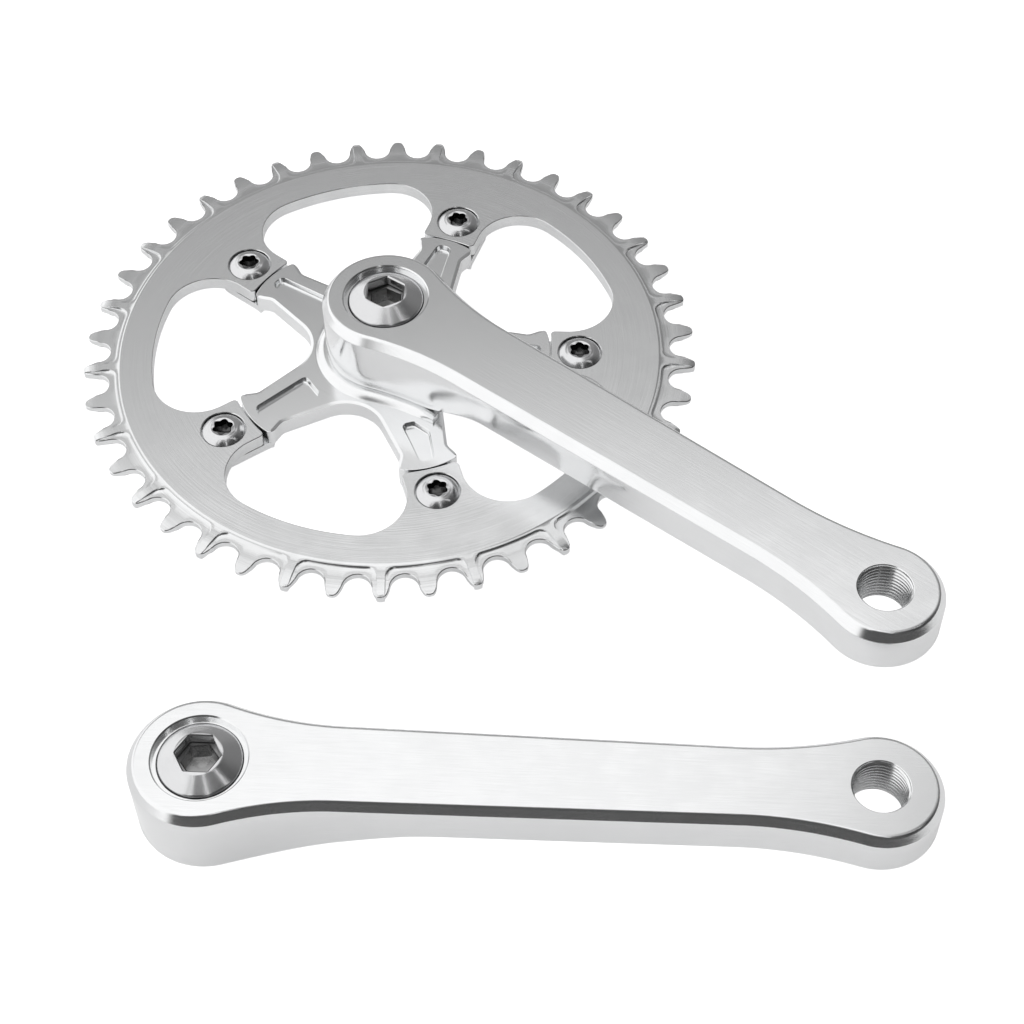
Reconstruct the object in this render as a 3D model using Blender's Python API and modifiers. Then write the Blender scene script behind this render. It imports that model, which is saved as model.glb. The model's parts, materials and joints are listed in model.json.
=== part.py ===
"""Bicycle crankset: the drive side with its spider and 42-tooth chainring, and the left crank arm.

Both sides lie on the ground plane with their outer faces up, so +Z is the outward direction of
the crank axis. Each side is modelled in its own frame, crank axis on Z and arm along +X, and is
set down by the empty it is parented to. Heights are measured from the ground plane.
"""
import math

import bmesh
import bpy
from mathutils import Matrix

MM = 0.001
GAP = 0.3 * MM

# Where the two sides lie, seen from above
DRIVE_AXIS = (-31.1 * MM, 38.6 * MM)
DRIVE_TURN = math.radians(-35.1)
LEFT_AXIS = (-63.7 * MM, -109.0 * MM)
LEFT_TURN = 0.0

# Crank arms, shared by both sides
CRANK_LENGTH = 165 * MM
HEAD_RADIUS = 18.1 * MM
EYE_RADIUS = 15.6 * MM
SHANK_HALF_WIDTHS = (12.2 * MM, 11.1 * MM)
HEAD_FILLET = 90 * MM
EYE_FILLET = 110 * MM
SHANK_THICKNESS = 13.5 * MM
EDGE_BEVEL = 2.2 * MM
PEDAL_BORE_RADIUS = 7.2 * MM
PEDAL_COUNTERSINK = 0.7 * MM

# Bores round the crank axis, depths below the arm's outer face
RECESS_RADIUS = 11.9 * MM
RECESS_DEPTH = 1.6 * MM
EXTRACTOR_BORE_RADIUS = 11.0 * MM
SEAT_DEPTH = 11.0 * MM
SOCKET_SIDE_AT_SEAT = 12.6 * MM
SOCKET_TAPER = math.radians(2)
SOCKET_CORNER = 1.2 * MM

# Heights
LEFT_FACE = 22.3 * MM
DRIVE_FACE = 31.1 * MM
RING_FACE = 9.6 * MM
LEFT_SWEEP = (8 * MM, 58 * MM)
DRIVE_SWEEP = (22 * MM, 44 * MM)

# Chainring
TEETH = 42
CHAIN_PITCH = 12.7 * MM
ROLLER_SEAT_RADIUS = 3.95 * MM
TIP_RADIUS = 88.4 * MM
TOOTH_FLANK = [(85.4 * MM, 4.22 * MM), (86.5 * MM, 4.72 * MM), (87.4 * MM, 5.2 * MM), (88.2 * MM, 5.85 * MM)]
RING_THICKNESS = 4.2 * MM
RING_WINDOW_RADIUS = 68.5 * MM
WINDOW_FILLET = 13 * MM
TAB_HALF_WIDTH = 8.1 * MM
TAB_END_RADIUS = 46.9 * MM
POCKET_RADIUS = 79.1 * MM
FRONT_POCKET_DEPTH = 0.6 * MM
BACK_POCKET_DEPTH = 1.5 * MM
POCKET_CORNER = 3.0 * MM
RIB_HALF_WIDTH = 1.1 * MM

# Spider
ARM_COUNT = 5
BOLT_CIRCLE_RADIUS = 55 * MM
SPIDER_BACK = 3.9 * MM
SPIDER_END_RADIUS = 46.5 * MM
SHOULDER_HALF_WIDTH = 8.35 * MM
SHOULDER_X = 44.4 * MM
WAIST = (39.5 * MM, 6.8 * MM)
ARM_ROOT = (26.1 * MM, 8.9 * MM)
HUB_FILLET = 11.5 * MM
HUB_WEB_RADIUS = 23 * MM
SPIDER_BEVEL = 0.9 * MM
COLLAR_TOP = 11.1 * MM
COLLAR_REACH = 2.5 * MM
COLLAR_LENGTH = 28.5 * MM
PAD_BACK = 2.2 * MM
PAD_TOP = RING_FACE - RING_THICKNESS - GAP
PAD_SPAN = (44 * MM, 62 * MM)
PAD_HALF_WIDTH = 8.0 * MM
PAD_CORNER = 5 * MM
ARM_POCKET_DEPTH = 1.6 * MM

# Boss that carries the spider, with its flange behind the spider
NECK_RADIUS = 15 * MM
FLANGE_RADIUS = 17.2 * MM
FLANGE_TOP = SPIDER_BACK - GAP

# Chainring bolts and nuts
BOLT_HEAD_RADIUS = 6.0 * MM
BOLT_SHANK_RADIUS = 4.0 * MM
BOLT_LIP_RADIUS = 3.4 * MM
BOLT_LIP_HEIGHT = 1.2 * MM
LOBE_TIP_RADIUS = 2.9 * MM
LOBE_VALLEY_RADIUS = 2.3 * MM
LOBE_DEPTH = 2.4 * MM
BOLT_HOLE_RADIUS = 5.2 * MM
COUNTERBORE_RADIUS = 6.3 * MM
COUNTERBORE_DEPTH = 2.1 * MM
NUT_HEAD_RADIUS = 6.3 * MM
NUT_SLEEVE_RADIUS = 4.9 * MM
NUT_BORE_RADIUS = 4.3 * MM
NUT_BACK = 0.3 * MM

# Extractor caps and fixing bolts, heights relative to the arm's outer face
CAP_RADIUS = 10.6 * MM
CAP_RIM = -0.8 * MM
CAP_LIP = 2.0 * MM
CAP_LIP_RADIUS = 6.1 * MM
CAP_FLOOR = -1.0 * MM
CAP_BOTTOM = -8.5 * MM
CAP_CAVITY_RADIUS = 8.6 * MM
CAP_HEX = 10 * MM
FIXING_BOLT_TOP = -1.3 * MM
FIXING_BOLT_END = -21.7 * MM
FIXING_BOLT_HEX = 8 * MM
FIXING_BOLT_SOCKET = 5.0 * MM
FIXING_BOLT_TURN = math.radians(8)
FIXING_BOLT_FLANGE = 8.2 * MM
FIXING_BOLT_BODY = 6.5 * MM
FIXING_BOLT_SHANK = 3.9 * MM
FLANGE_THICKNESS = 2.0 * MM
FLANGE_EDGE = 0.6 * MM
SHANK_CHAMFER = 0.8 * MM
WASHER_THICKNESS = 0.7 * MM
WASHER_RADIUS = 9.6 * MM
WASHER_BORE_RADIUS = 4.4 * MM

COLLECTION = "bicycle_crankset"


# Plane geometry

def arc(centre, radius, start, end, steps):
    """Points along an arc from one angle to another, both ends included."""
    points = []
    for i in range(steps + 1):
        angle = start + (end - start) * i / steps
        points.append((centre[0] + radius * math.cos(angle), centre[1] + radius * math.sin(angle)))
    return points


def turned_about_axis(points, angle):
    """Points turned about the crank axis."""
    c, s = math.cos(angle), math.sin(angle)
    return [(c * x - s * y, s * x + c * y) for x, y in points]


def mirrored(points):
    """Points reflected in the X axis, in reverse order so that they carry a half outline on."""
    return [(x, -y) for x, y in reversed(points)]


def smoothstep(low, high, value):
    """0 below low, 1 above high and a cubic blend between."""
    t = min(max((value - low) / (high - low), 0.0), 1.0)
    return t * t * (3 - 2 * t)


def arm_half_outline(grow=0.0):
    """Upper half of an arm's outline from its head to its pedal eye, pushed outward by grow.

    The head and the eye are circles. Each is joined by a wide concave fillet to the shank,
    whose half width falls from one value to the other between the fillets.
    """
    wide, narrow = SHANK_HALF_WIDTHS
    head_reach = math.sqrt((HEAD_RADIUS + HEAD_FILLET) ** 2 - (wide + HEAD_FILLET) ** 2)
    eye_reach = math.sqrt((EYE_RADIUS + EYE_FILLET) ** 2 - (narrow + EYE_FILLET) ** 2)
    head_angle = math.atan2(wide + HEAD_FILLET, head_reach)
    eye_angle = math.atan2(narrow + EYE_FILLET, -eye_reach)
    head_centre = (head_reach, wide + HEAD_FILLET)
    eye_centre = (CRANK_LENGTH - eye_reach, narrow + EYE_FILLET)
    outline = arc((0, 0), HEAD_RADIUS + grow, math.pi, head_angle, 12)
    outline += arc(head_centre, HEAD_FILLET - grow, head_angle + math.pi, 1.5 * math.pi, 5)[1:]
    outline += arc(eye_centre, EYE_FILLET - grow, 1.5 * math.pi, eye_angle + math.pi, 5)
    outline += arc((CRANK_LENGTH, 0), EYE_RADIUS + grow, eye_angle, 0, 12)[1:]
    return outline


def arm_outline():
    """The whole outline of an arm."""
    half = arm_half_outline()
    return half + mirrored(half)[1:-1]


def underside_cutter_outline(face, back, sweep):
    """Side view of what is taken off behind the arm: it thins from the boss to the shank."""
    past_eye = CRANK_LENGTH + 30 * MM
    shank_back = face - SHANK_THICKNESS
    outline = [(past_eye, shank_back), (past_eye, back - 5 * MM), (sweep[0], back - 5 * MM)]
    steps = 14
    for i in range(steps + 1):
        x = sweep[0] + (sweep[1] - sweep[0]) * i / steps
        outline.append((x, back + (shank_back - back) * smoothstep(sweep[0], sweep[1], x)))
    return outline


def ring_tooth_outline():
    """Outer outline of the chainring: round roller seats on the pitch circle between teeth."""
    pitch_radius = CHAIN_PITCH / 2 / math.sin(math.pi / TEETH)
    half_pitch = math.pi / TEETH
    seat_reach = math.radians(75)
    outline = []
    for tooth in range(TEETH):
        seat = arc((pitch_radius, 0), ROLLER_SEAT_RADIUS, math.pi + seat_reach, math.pi - seat_reach, 4)
        gap = mirrored(TOOTH_FLANK) + seat + TOOTH_FLANK
        outline += turned_about_axis(gap, (2 * tooth + 1) * half_pitch)
    return outline


def ring_inner_outline():
    """Inner outline of the chainring: five bolt tabs with heart-shaped windows between them."""
    centre_radius = RING_WINDOW_RADIUS - WINDOW_FILLET
    centre_y = TAB_HALF_WIDTH + WINDOW_FILLET
    centre = (math.sqrt(centre_radius ** 2 - centre_y ** 2), centre_y)
    tangent = math.atan2(centre[1], centre[0])
    half_spacing = math.pi / ARM_COUNT
    tab_angle = math.asin(TAB_HALF_WIDTH / TAB_END_RADIUS)
    half = arc((0, 0), TAB_END_RADIUS, 0, tab_angle, 2)
    half += arc(centre, WINDOW_FILLET, -math.pi / 2, tangent, 8)
    half += arc((0, 0), RING_WINDOW_RADIUS, tangent, half_spacing, 3)[1:]
    outline = []
    for k in range(ARM_COUNT):
        outline += turned_about_axis(mirrored(half)[1:-1] + half, bolt_angle(k))
    return outline


def bolt_angle(k):
    """Angle of chainring bolt k from the crank arm, which points midway between two of them."""
    return (2 * k + 1) * math.pi / ARM_COUNT


def pocket_outline(tooth):
    """Area milled off both faces round a narrow tooth, up to the ribs on the wide teeth beside it."""
    centre = (2 * tooth + 1) * 2 * math.pi / TEETH
    pitch = 2 * math.pi / TEETH
    corner = (POCKET_RADIUS + POCKET_CORNER, RIB_HALF_WIDTH + POCKET_CORNER)
    side = [(TIP_RADIUS + 3 * MM, RIB_HALF_WIDTH)] + arc(corner, POCKET_CORNER, -math.pi / 2, -math.pi, 3)
    return turned_about_axis(side, centre - pitch) + turned_about_axis(mirrored(side), centre + pitch)


def spider_outline():
    """Five arms, waisted and flaring to a shoulder, joined by round fillets at the hub."""
    half_spacing = math.pi / ARM_COUNT
    end_angle = math.asin(SHOULDER_HALF_WIDTH / SPIDER_END_RADIUS)
    half = arc((0, 0), SPIDER_END_RADIUS, 0, end_angle, 2)
    for i in range(5):
        t = i / 4
        x = SHOULDER_X + (WAIST[0] - SHOULDER_X) * t
        half.append((x, SHOULDER_HALF_WIDTH + (WAIST[1] - SHOULDER_HALF_WIDTH) * smoothstep(0, 1, t)))
    fillet_distance = HUB_WEB_RADIUS + HUB_FILLET
    centre = (fillet_distance * math.cos(half_spacing), fillet_distance * math.sin(half_spacing))
    side_slope = math.atan2(ARM_ROOT[1] - WAIST[1], ARM_ROOT[0] - WAIST[0])
    half += arc(centre, HUB_FILLET, side_slope + math.pi / 2, half_spacing + math.pi, 6)
    outline = []
    for k in range(ARM_COUNT):
        outline += turned_about_axis(mirrored(half)[1:-1] + half, bolt_angle(k))
    return outline


def collar_outline():
    """Raised collar of the spider round the foot of the crank arm, clear of the window under it."""
    half = [(x, y) for x, y in arm_half_outline(COLLAR_REACH) if x < COLLAR_LENGTH]
    half.append((COLLAR_LENGTH, SHANK_HALF_WIDTHS[0] + COLLAR_REACH))
    window_centre = HUB_WEB_RADIUS + HUB_FILLET
    window_radius = HUB_FILLET + 0.6 * MM
    corner = math.pi - math.acos((window_centre - COLLAR_LENGTH) / window_radius)
    half += arc((window_centre, 0), window_radius, corner, math.pi, 4)
    return half + mirrored(half)[1:-1]


def pad_outline():
    """Back pad of a spider arm under the ring's tab, square inside and rounded outside."""
    inner, outer = PAD_SPAN
    corner = (outer - PAD_CORNER, PAD_HALF_WIDTH - PAD_CORNER)
    half = arc(corner, PAD_CORNER, 0, math.pi / 2, 4) + [(inner, PAD_HALF_WIDTH)]
    return half + mirrored(half)


def arm_pocket_outline(k):
    """Tapered pocket in a spider arm. Next to the crank arm its inner corner is cut back."""
    wide, narrow = 4.4 * MM, 2.2 * MM
    inner, outer = 25.5 * MM, 44.0 * MM
    upper = [(inner, wide), (outer - narrow, narrow)]
    if k == ARM_COUNT - 1:
        upper = [(29.0 * MM, 0.0), (33.5 * MM, 3.3 * MM), (outer - narrow, narrow)]
    lower = [(inner, -wide), (outer - narrow, -narrow)]
    if k == ARM_COUNT - 1:
        lower = [(29.0 * MM, -3.9 * MM), (outer - narrow, -narrow)]
    if k == 0:
        upper = [(29.0 * MM, 3.9 * MM), (outer - narrow, narrow)]
        lower = [(29.0 * MM, 0.0), (33.5 * MM, -3.3 * MM), (outer - narrow, -narrow)]
    tip = arc((outer - narrow, 0), narrow, -math.pi / 2, math.pi / 2, 6)[1:-1]
    return turned_about_axis(lower + tip + upper[::-1], bolt_angle(k))


def hexagon(across_flats, turn):
    """Corners of a hexagon."""
    return arc((0, 0), across_flats / math.sqrt(3), turn, turn + 5 / 3 * math.pi, 5)


def six_lobe(outer, inner):
    """Outline of a six-lobe socket."""
    outline = []
    for k in range(6):
        outline += arc((0, 0), outer, math.radians(60 * k - 9), math.radians(60 * k + 9), 1)
        outline += arc((0, 0), inner, math.radians(60 * k + 26), math.radians(60 * k + 34), 1)
    return outline


# Building blocks

def new_material(name, colour, roughness):
    """A bare metal."""
    material = bpy.data.materials.new(name)
    material.use_nodes = True
    shader = material.node_tree.nodes["Principled BSDF"]
    shader.inputs["Base Color"].default_value = (*colour, 1.0)
    shader.inputs["Roughness"].default_value = roughness
    shader.inputs["Metallic"].default_value = 1.0
    return material


def outline_mesh(loops, low, high):
    """Solid between two heights with the given outlines; a loop inside another is a hole."""
    curve = bpy.data.curves.new("outline", "CURVE")
    curve.dimensions = "2D"
    curve.fill_mode = "BOTH"
    curve.extrude = (high - low) / 2
    for loop in loops:
        spline = curve.splines.new("POLY")
        spline.points.add(len(loop) - 1)
        for point, (x, y) in zip(spline.points, loop):
            point.co = (x, y, 0.0, 1.0)
        spline.use_cyclic_u = True
    guide = bpy.data.objects.new("outline", curve)
    bpy.context.scene.collection.objects.link(guide)
    depsgraph = bpy.context.evaluated_depsgraph_get()
    mesh = bpy.data.meshes.new_from_object(guide.evaluated_get(depsgraph))
    bpy.data.objects.remove(guide)
    bpy.data.curves.remove(curve)
    bm = bmesh.new()
    bm.from_mesh(mesh)
    bmesh.ops.remove_doubles(bm, verts=bm.verts, dist=1e-6)
    bmesh.ops.translate(bm, verts=bm.verts, vec=(0, 0, (low + high) / 2))
    bmesh.ops.recalc_face_normals(bm, faces=bm.faces)
    bm.to_mesh(mesh)
    bm.free()
    return mesh


def bevel_top(mesh, top, width, segments):
    """Round the edges where the flat top of a plain outline meets its side wall."""
    bm = bmesh.new()
    bm.from_mesh(mesh)
    bm.normal_update()
    inside = [e for e in bm.edges if all(abs(f.normal.z) > 0.99 for f in e.link_faces)]
    bmesh.ops.dissolve_edges(bm, edges=inside, use_verts=False)
    edges = [e for e in bm.edges if all(abs(v.co.z - top) < 1e-6 for v in e.verts)]
    bmesh.ops.bevel(bm, geom=edges, offset=width, segments=segments, profile=0.5, affect="EDGES")
    bm.to_mesh(mesh)
    bm.free()


def turned_mesh(name, profile, steps, closed=False):
    """Mesh turned round Z from a profile of (radius, height), with a Screw modifier."""
    mesh = bpy.data.meshes.new(name)
    count = len(profile)
    edges = [(i, i + 1) for i in range(count - 1)]
    if closed:
        edges.append((count - 1, 0))
    mesh.from_pydata([(r, 0.0, z) for r, z in profile], edges, [])
    blank = bpy.data.objects.new(name, mesh)
    bpy.context.scene.collection.objects.link(blank)
    screw = blank.modifiers.new("turn", "SCREW")
    screw.steps = steps
    screw.render_steps = steps
    screw.use_merge_vertices = True
    screw.merge_threshold = 1e-6
    depsgraph = bpy.context.evaluated_depsgraph_get()
    solid = bpy.data.meshes.new_from_object(blank.evaluated_get(depsgraph))
    bpy.data.objects.remove(blank)
    return solid


def place(name, mesh, parent, material, location=(0, 0, 0), turn=0.0):
    """A part, standing in its side's frame."""
    mesh.materials.clear()
    mesh.materials.append(material)
    mesh.shade_smooth()
    mesh.set_sharp_from_angle(angle=math.radians(30))
    part = bpy.data.objects.new(name, mesh)
    bpy.data.collections[COLLECTION].objects.link(part)
    part.parent = parent
    part.location = location
    part.rotation_euler = (0, 0, turn)
    return part


def boolean(part, mesh, operation="DIFFERENCE", location=(0, 0, 0), rotation=(0, 0, 0)):
    """Cut a mesh out of a part, or join it on, in the part's own side frame."""
    cutter = bpy.data.objects.new(f"{part.name}_{operation.lower()}_{len(part.modifiers)}", mesh)
    bpy.data.collections["cutters"].objects.link(cutter)
    cutter.parent = part.parent
    cutter.location = location
    cutter.rotation_euler = rotation
    cutter.hide_render = True
    cutter.display_type = "WIRE"
    modifier = part.modifiers.new(cutter.name, "BOOLEAN")
    modifier.operation = operation
    modifier.solver = "EXACT"
    modifier.object = cutter
    return cutter


def cut_mesh(mesh, cutter_mesh):
    """A mesh with another cut out of it, for pieces whose copies share one mesh."""
    part = bpy.data.objects.new("blank", mesh)
    tool = bpy.data.objects.new("tool", cutter_mesh)
    for item in (part, tool):
        bpy.context.scene.collection.objects.link(item)
    modifier = part.modifiers.new("cut", "BOOLEAN")
    modifier.solver = "EXACT"
    modifier.object = tool
    depsgraph = bpy.context.evaluated_depsgraph_get()
    result = bpy.data.meshes.new_from_object(part.evaluated_get(depsgraph))
    for item in (part, tool):
        bpy.data.objects.remove(item)
    return result


# Shared bores of the arms

def axis_bore_profile(face):
    """Recess for the cap's rim, then the extractor bore down to the bolt seat."""
    return [(0, face + 5 * MM), (RECESS_RADIUS, face + 5 * MM), (RECESS_RADIUS, face - RECESS_DEPTH),
            (EXTRACTOR_BORE_RADIUS, face - RECESS_DEPTH), (EXTRACTOR_BORE_RADIUS, face - SEAT_DEPTH),
            (0, face - SEAT_DEPTH)]


def pedal_bore_profile(face):
    """Through bore for the pedal axle with a countersunk mouth."""
    over = 1 * MM
    mouth = PEDAL_BORE_RADIUS + PEDAL_COUNTERSINK + over
    back = face - SHANK_THICKNESS - 3 * MM
    return [(0, face + over), (mouth, face + over), (PEDAL_BORE_RADIUS, face - PEDAL_COUNTERSINK),
            (PEDAL_BORE_RADIUS, back), (0, back)]


def square_socket_mesh(face):
    """Tapered square socket from the seat down through the back, with flattened corners."""
    top = face - SEAT_DEPTH + 1 * MM
    bottom = -2 * MM
    mesh = bpy.data.meshes.new("square_socket")
    bm = bmesh.new()
    growth = (top - bottom) * math.tan(SOCKET_TAPER)
    half_diagonal = SOCKET_SIDE_AT_SEAT / math.sqrt(2)
    bmesh.ops.create_cone(bm, cap_ends=True, segments=4, depth=top - bottom,
                          radius1=half_diagonal + growth * math.sqrt(2), radius2=half_diagonal)
    bmesh.ops.translate(bm, verts=bm.verts, vec=(0, 0, (top + bottom) / 2))
    sides = [e for e in bm.edges if abs(e.verts[0].co.z - e.verts[1].co.z) > 1 * MM]
    bmesh.ops.bevel(bm, geom=sides, offset=SOCKET_CORNER, segments=1, affect="EDGES")
    bmesh.ops.rotate(bm, verts=bm.verts, matrix=Matrix.Rotation(math.pi / 4, 3, "Z"))
    bm.to_mesh(mesh)
    bm.free()
    return mesh


def add_arm_bores(arm, face):
    """Cut what both arms have: axis bore, square socket and pedal bore."""
    boolean(arm, turned_mesh("axis_bore", axis_bore_profile(face), 40))
    boolean(arm, square_socket_mesh(face))
    boolean(arm, turned_mesh("pedal_bore", pedal_bore_profile(face), 32),
            location=(CRANK_LENGTH, 0, 0))


# The parts

def add_crank_arm(name, parent, material, face, back, sweep):
    """An arm: flat face, rounded outer edge, thinned behind from the boss to the pedal eye."""
    mesh = outline_mesh([arm_outline()], back, face)
    bevel_top(mesh, face, EDGE_BEVEL, 2)
    arm = place(name, mesh, parent, material)
    reach = HEAD_RADIUS + 10 * MM
    side_view = outline_mesh([underside_cutter_outline(face, back, sweep)], -reach, reach)
    boolean(arm, side_view, rotation=(math.pi / 2, 0, 0))
    return arm


def add_left_arm(parent, material):
    """Left arm, whose boss is as tall as the arm's head."""
    arm = add_crank_arm("left_crank_arm", parent, material, LEFT_FACE, 0.0, LEFT_SWEEP)
    add_arm_bores(arm, LEFT_FACE)


def add_drive_arm(parent, material):
    """Drive-side arm, with the neck and flange that hold the spider."""
    foot = COLLAR_TOP + GAP
    arm = add_crank_arm("drive_crank_arm", parent, material, DRIVE_FACE, foot, DRIVE_SWEEP)
    neck = [(0, foot + 2 * MM), (NECK_RADIUS, foot + 2 * MM), (NECK_RADIUS, FLANGE_TOP),
            (FLANGE_RADIUS, FLANGE_TOP), (FLANGE_RADIUS, 0), (0, 0)]
    boolean(arm, turned_mesh("neck", neck, 48), "UNION")
    add_arm_bores(arm, DRIVE_FACE)


def add_spider(parent, material):
    """Five-armed spider pressed on the drive arm's neck."""
    mesh = outline_mesh([spider_outline()], SPIDER_BACK, RING_FACE)
    bevel_top(mesh, RING_FACE, SPIDER_BEVEL, 1)
    spider = place("spider", mesh, parent, material)
    collar = outline_mesh([collar_outline()], RING_FACE - 1 * MM, COLLAR_TOP)
    bevel_top(collar, COLLAR_TOP, 1.2 * MM, 1)
    boolean(spider, collar, "UNION")
    pads = [turned_about_axis(pad_outline(), bolt_angle(k)) for k in range(ARM_COUNT)]
    boolean(spider, outline_mesh(pads, PAD_BACK, PAD_TOP), "UNION")
    pockets = [arm_pocket_outline(k) for k in range(ARM_COUNT)]
    boolean(spider, outline_mesh(pockets, RING_FACE - ARM_POCKET_DEPTH, RING_FACE + 5 * MM))
    bore = [(0, 20 * MM), (NECK_RADIUS + GAP, 20 * MM), (NECK_RADIUS + GAP, 0), (0, 0)]
    boolean(spider, turned_mesh("spider_bore", bore, 48))
    holes = [bolt_hole(k, BOLT_HOLE_RADIUS, 20) for k in range(ARM_COUNT)]
    boolean(spider, outline_mesh(holes, 0, RING_FACE + 1 * MM))


def bolt_hole(k, radius, steps):
    """Circle round chainring bolt k."""
    circle = arc((BOLT_CIRCLE_RADIUS, 0), radius, 0, 2 * math.pi * (steps - 1) / steps, steps - 1)
    return turned_about_axis(circle, bolt_angle(k))


def add_chainring(parent, material):
    """Narrow-wide chainring: every other tooth is milled thin from both faces."""
    low = RING_FACE - RING_THICKNESS
    holes = [bolt_hole(k, BOLT_HOLE_RADIUS, 20) for k in range(ARM_COUNT)]
    mesh = outline_mesh([ring_tooth_outline(), ring_inner_outline()] + holes, low, RING_FACE)
    ring = place("chainring", mesh, parent, material)
    pockets = [pocket_outline(tooth) for tooth in range(TEETH // 2)]
    boolean(ring, outline_mesh(pockets, RING_FACE - FRONT_POCKET_DEPTH, RING_FACE + 1 * MM))
    boolean(ring, outline_mesh(pockets, low - 1 * MM, low + BACK_POCKET_DEPTH))
    seats = [bolt_hole(k, COUNTERBORE_RADIUS, 20) for k in range(ARM_COUNT)]
    boolean(ring, outline_mesh(seats, RING_FACE - COUNTERBORE_DEPTH, RING_FACE + 1 * MM))


def add_chainring_bolts(parent, material):
    """Five domed bolts with six-lobe sockets, and the sleeve nuts behind them."""
    under_head = RING_FACE - COUNTERBORE_DEPTH + GAP
    lip = RING_FACE + BOLT_LIP_HEIGHT
    bolt = [(0, lip), (BOLT_LIP_RADIUS, lip), (BOLT_HEAD_RADIUS - 0.4 * MM, RING_FACE + 0.2 * MM),
            (BOLT_HEAD_RADIUS, RING_FACE - 0.2 * MM), (BOLT_HEAD_RADIUS, under_head),
            (BOLT_SHANK_RADIUS, under_head), (BOLT_SHANK_RADIUS, PAD_BACK), (0, PAD_BACK)]
    socket = outline_mesh([six_lobe(LOBE_TIP_RADIUS, LOBE_VALLEY_RADIUS)], lip - LOBE_DEPTH, lip + 1 * MM)
    bolt_mesh = cut_mesh(turned_mesh("chainring_bolt", bolt, 20), socket)
    nut_top = under_head - GAP - 0.2 * MM
    head_top = PAD_BACK - GAP
    nut = [(NUT_BORE_RADIUS, nut_top), (NUT_SLEEVE_RADIUS, nut_top), (NUT_SLEEVE_RADIUS, head_top),
           (NUT_HEAD_RADIUS, head_top), (NUT_HEAD_RADIUS, NUT_BACK + 0.5 * MM),
           (NUT_HEAD_RADIUS - 0.8 * MM, NUT_BACK), (NUT_BORE_RADIUS, NUT_BACK)]
    nut_mesh = turned_mesh("chainring_nut", nut, 20, closed=True)
    for k in range(ARM_COUNT):
        angle = bolt_angle(k)
        spot = (BOLT_CIRCLE_RADIUS * math.cos(angle), BOLT_CIRCLE_RADIUS * math.sin(angle), 0)
        place(f"chainring_bolt_{k + 1}", bolt_mesh, parent, material, spot, angle)
        place(f"chainring_nut_{k + 1}", nut_mesh, parent, material, spot, angle)


def add_extractor(side, parent, face, cap_material, bolt_material):
    """Extractor cap, the fixing bolt that turns captive under it, and the bolt's washer."""
    lift = (0, 0, face)
    cap = [(0, CAP_LIP), (CAP_LIP_RADIUS, CAP_LIP), (CAP_RADIUS, CAP_RIM), (CAP_RADIUS, CAP_BOTTOM),
           (CAP_CAVITY_RADIUS, CAP_BOTTOM), (CAP_CAVITY_RADIUS, CAP_FLOOR), (0, CAP_FLOOR)]
    cap_socket = outline_mesh([hexagon(CAP_HEX, 0)], CAP_FLOOR - 1 * MM, CAP_LIP + 1 * MM)
    cap_mesh = cut_mesh(turned_mesh("cap", cap, 40), cap_socket)
    place(f"{side}_extractor_cap", cap_mesh, parent, cap_material, lift)
    washer_low = -SEAT_DEPTH + GAP
    washer_high = washer_low + WASHER_THICKNESS
    flange_low = FIXING_BOLT_TOP - FLANGE_THICKNESS
    body_low = washer_high + GAP
    bolt = [(0, FIXING_BOLT_TOP), (FIXING_BOLT_FLANGE - FLANGE_EDGE, FIXING_BOLT_TOP),
            (FIXING_BOLT_FLANGE, FIXING_BOLT_TOP - FLANGE_EDGE), (FIXING_BOLT_FLANGE, flange_low),
            (FIXING_BOLT_BODY, flange_low), (FIXING_BOLT_BODY, body_low), (FIXING_BOLT_SHANK, body_low),
            (FIXING_BOLT_SHANK, FIXING_BOLT_END + SHANK_CHAMFER),
            (FIXING_BOLT_SHANK - SHANK_CHAMFER, FIXING_BOLT_END), (0, FIXING_BOLT_END)]
    bolt_socket = outline_mesh([hexagon(FIXING_BOLT_HEX, FIXING_BOLT_TURN)],
                               FIXING_BOLT_TOP - FIXING_BOLT_SOCKET, FIXING_BOLT_TOP + 1 * MM)
    bolt_mesh = cut_mesh(turned_mesh("fixing_bolt", bolt, 32), bolt_socket)
    place(f"{side}_fixing_bolt", bolt_mesh, parent, bolt_material, lift)
    washer = [(WASHER_BORE_RADIUS, washer_high), (WASHER_RADIUS, washer_high), (WASHER_RADIUS, washer_low),
              (WASHER_BORE_RADIUS, washer_low)]
    washer_mesh = turned_mesh("washer", washer, 32, closed=True)
    place(f"{side}_bolt_washer", washer_mesh, parent, bolt_material, lift)


def add_side(name, axis, turn):
    """Empty on a crank axis that carries one side of the crankset."""
    empty = bpy.data.objects.new(name, None)
    bpy.data.collections[COLLECTION].objects.link(empty)
    empty.location = (axis[0], axis[1], 0)
    empty.rotation_euler = (0, 0, turn)
    return empty


def main():
    for item in list(bpy.data.objects):
        bpy.data.objects.remove(item)
    for name in (COLLECTION, "cutters"):
        bpy.context.scene.collection.children.link(bpy.data.collections.new(name))
    polished = new_material("polished_aluminium", (0.86, 0.865, 0.87), 0.16)
    anodised = new_material("brushed_aluminium", (0.78, 0.785, 0.79), 0.32)
    chrome = new_material("chromed_steel", (0.72, 0.725, 0.73), 0.12)
    steel = new_material("plated_steel", (0.6, 0.6, 0.6), 0.3)
    drive = add_side("drive_side", DRIVE_AXIS, DRIVE_TURN)
    add_drive_arm(drive, polished)
    add_spider(drive, polished)
    add_chainring(drive, anodised)
    add_chainring_bolts(drive, chrome)
    add_extractor("drive", drive, DRIVE_FACE, chrome, steel)
    left = add_side("left_side", LEFT_AXIS, LEFT_TURN)
    add_left_arm(left, polished)
    add_extractor("left", left, LEFT_FACE, chrome, steel)


main()
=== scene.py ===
import json
import math

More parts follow.
